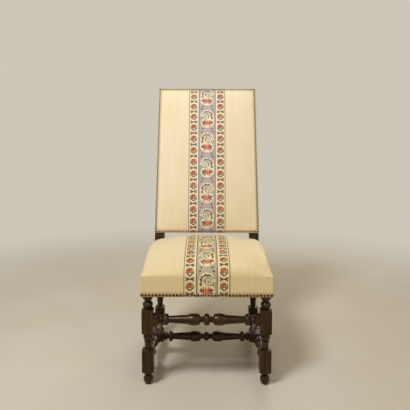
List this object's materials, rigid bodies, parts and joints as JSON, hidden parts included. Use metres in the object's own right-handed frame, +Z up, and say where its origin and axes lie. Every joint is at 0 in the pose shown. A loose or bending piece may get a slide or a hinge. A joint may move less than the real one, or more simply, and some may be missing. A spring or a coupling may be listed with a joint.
{
  "type": "high-back side chair",
  "caption": "Upholstered high-back side chair with turned legs and stretchers, a domed seat, a tall raked back panel and nailed edges.",
  "frame": {"origin": "on the floor, under the middle of the whole chair's box", "axes": "+Z up; the front faces -Y; +X across the chair, to the left hand of someone sitting in it"},
  "size_m": [0.5034, 0.6388, 1.1915],
  "materials": {
    "dark_wood": "dark waxed turned hardwood, worn on the edges",
    "peg_wood": "dark waxed end grain",
    "ribbed_linen": "cream ribbed linen",
    "needlework": "wool needlework in cream, blue-grey, green and red",
    "brass_nails": "aged brass domes",
    "jute_webbing": "coarse woven jute tape",
    "hessian": "coarse open sacking",
    "stuffing": "curled hair and fibre under calico"
  },
  "bodies": {
    "root": {"back_cover_band": "needlework", "back_cover_left": "ribbed_linen", "back_cover_right": "ribbed_linen", "back_hessian": "hessian", "back_nails_bottom": "brass_nails", "back_nails_left": "brass_nails", "back_nails_right": "brass_nails", "back_nails_top": "brass_nails", "back_rail_bottom": "dark_wood", "back_rail_top": "dark_wood", "back_stuffing": "stuffing", "back_webbing_crosswise": "jute_webbing", "back_webbing_upright": "jute_webbing", "cross_stretcher": "dark_wood", "front_leg_left": "dark_wood", "front_leg_right": "dark_wood", "front_stretcher": "dark_wood", "joint_pegs": "peg_wood", "outside_back_cover": "ribbed_linen", "outside_back_nails_bottom": "brass_nails", "outside_back_nails_left": "brass_nails", "outside_back_nails_right": "brass_nails", "outside_back_nails_top": "brass_nails", "rear_post_left": "dark_wood", "rear_post_right": "dark_wood", "seat_cover_band": "needlework", "seat_cover_left": "ribbed_linen", "seat_cover_right": "ribbed_linen", "seat_hessian": "hessian", "seat_nails_front": "brass_nails", "seat_nails_left": "brass_nails", "seat_nails_rear": "brass_nails", "seat_nails_right": "brass_nails", "seat_rail_front": "dark_wood", "seat_rail_left": "dark_wood", "seat_rail_rear": "dark_wood", "seat_rail_right": "dark_wood", "seat_stuffing": "stuffing", "seat_webbing_crosswise": "jute_webbing", "seat_webbing_lengthwise": "jute_webbing", "side_stretcher_left": "dark_wood", "side_stretcher_right": "dark_wood"}
  },
  "joints": []
}
